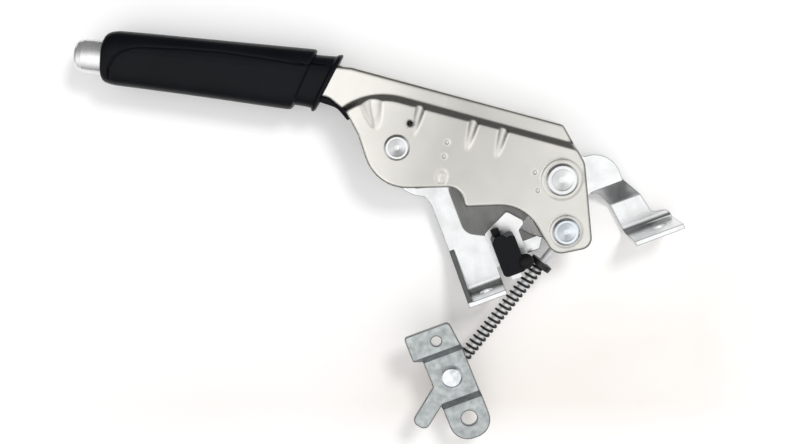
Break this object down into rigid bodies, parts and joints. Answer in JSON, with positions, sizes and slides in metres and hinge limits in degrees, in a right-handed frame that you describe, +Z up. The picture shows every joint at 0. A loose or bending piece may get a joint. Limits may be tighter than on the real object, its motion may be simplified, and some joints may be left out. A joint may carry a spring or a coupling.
{
  "type": "parking brake lever",
  "caption": "Hand-operated parking brake lever on a stamped bracket: pressed steel arm with moulded grip and release button, ratchet and pawl, pull rod with cable equalizer and lamp switch.",
  "frame": {"origin": "midpoint between the two foot bolt holes, on the underside of the feet", "axes": "+Z up from the mounting plane, +X along the car from the grip end to the pivot end, +Y across, away from the side that the picture shows"},
  "size_m": [0.3067, 0.0372, 0.3173],
  "materials": {
    "zinc": "bright zinc",
    "lever_steel": "satin",
    "dark_steel": "satin",
    "blue_zinc": "bright zinc",
    "chrome": "bright",
    "grip_black": "satin",
    "spring_black": "phosphated",
    "white_plastic": "satin",
    "switch_black": "satin",
    "rubber": "matte",
    "rod_steel": "drawn",
    "brass": "passivated"
  },
  "bodies": {
    "bracket": {"base_bracket": "zinc", "ratchet_sector": "dark_steel", "sector_rivets": "zinc", "pivot_bush": "dark_steel", "switch_plate": "white_plastic", "switch_rivets": "zinc", "switch_body": "switch_black", "switch_boot": "rubber", "switch_terminal": "zinc"},
    "lever": {"lever_arm": "lever_steel", "grip_sleeve": "grip_black", "grip_collar": "grip_black", "rod_guide": "white_plastic", "main_pivot_pin": "lever_steel", "pawl_pin": "lever_steel", "pawl_spacers": "dark_steel", "cable_pin": "blue_zinc", "cable_spacers": "dark_steel"},
    "button": {"push_button": "chrome", "release_rod": "dark_steel", "button_spring": "dark_steel"},
    "catch": {"pawl": "dark_steel"},
    "rod": {"pull_rod": "rod_steel", "spring_seat": "switch_black", "rod_spring": "spring_black", "spring_washer": "zinc", "trunnion": "blue_zinc", "trunnion_clip": "dark_steel", "adjuster_nut": "brass", "lock_nut": "brass"},
    "balance": {"equalizer": "zinc"},
    "plunger": {"switch_plunger": "switch_black"}
  },
  "joints": [
    {"name": "lever_swing", "type": "hinge", "parent": "bracket", "child": "lever", "pos_m": [0.0093, 0, 0.0544], "axis": [0, 1, 0], "range_deg": [0, 26]},
    {"name": "button_press", "type": "slide", "parent": "lever", "child": "button", "axis": [0.8886, 0, -0.4587], "range_m": [-0.0024, 0.0026], "stiffness_N_per_m": 600, "deforming": ["button_spring"]},
    {"name": "pawl_swing", "type": "hinge", "parent": "lever", "child": "catch", "pos_m": [-0.07572, 0, 0.10751], "axis": [0, 1, 0], "range_deg": [-7.2, 7.8]},
    {"name": "rod_swing", "type": "hinge", "parent": "lever", "child": "rod", "pos_m": [0.00104, 0, 0.02381], "axis": [0, 1, 0], "range_deg": [-79, 1]},
    {"name": "equalizer_tilt", "type": "hinge", "parent": "rod", "child": "balance", "pos_m": [-0.09547, 0, -0.0385], "axis": [0, 1, 0], "range_deg": [-25, 25]},
    {"name": "plunger_press", "type": "slide", "parent": "bracket", "child": "plunger", "axis": [0, 0, -1], "range_m": [0, 0.0025], "stiffness_N_per_m": 300}
  ],
  "couplings": [
    {"joint": "pawl_swing", "follows": "button_press", "rad_per_m": 48.464},
    {"joint": "rod_swing", "follows": "lever_swing", "ratio": -3}
  ]
}
